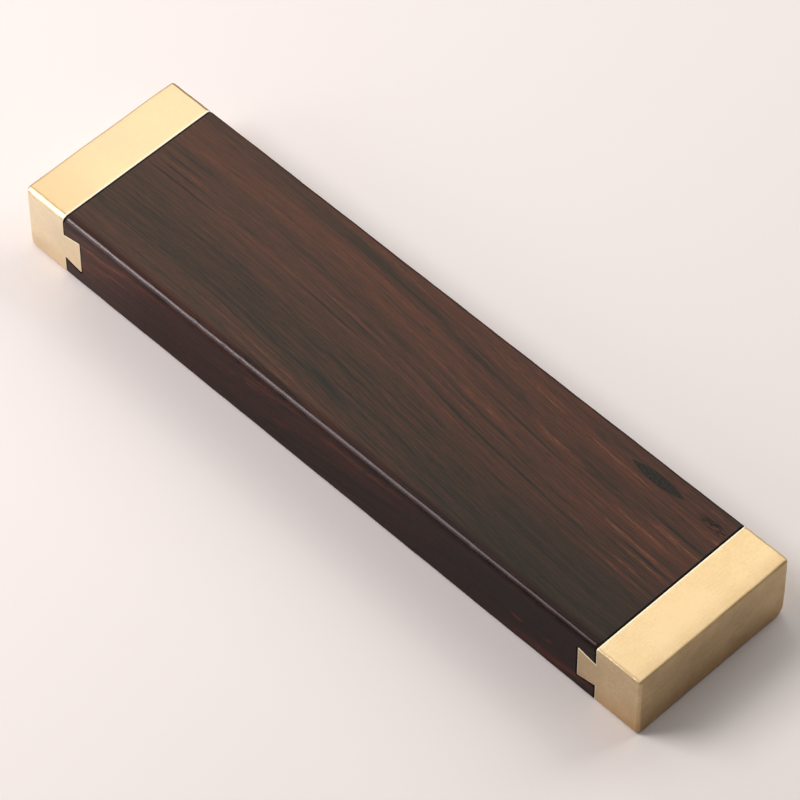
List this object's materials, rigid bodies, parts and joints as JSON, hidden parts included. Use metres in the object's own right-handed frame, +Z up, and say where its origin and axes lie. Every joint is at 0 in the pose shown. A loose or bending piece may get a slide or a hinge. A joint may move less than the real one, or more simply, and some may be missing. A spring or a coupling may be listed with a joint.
{
  "type": "paperweight",
  "caption": "Long flat desk paperweight: a dark hardwood bar with solid brass blocks dovetailed and glued onto both ends.",
  "frame": {"origin": "centre of the resting face, at the middle of the bar's length and width", "axes": "+X along the bar's length, +Y across its width, +Z up from the resting face"},
  "size_m": [0.2, 0.048, 0.02],
  "materials": {
    "wood": "oiled and polished to a satin sheen",
    "brass": "satin, finely brushed",
    "adhesive": "matt dark film"
  },
  "bodies": {
    "root": {"wood_bar": "wood", "left_end_block": "brass", "right_end_block": "brass", "left_glue_line": "adhesive", "right_glue_line": "adhesive"}
  },
  "joints": []
}
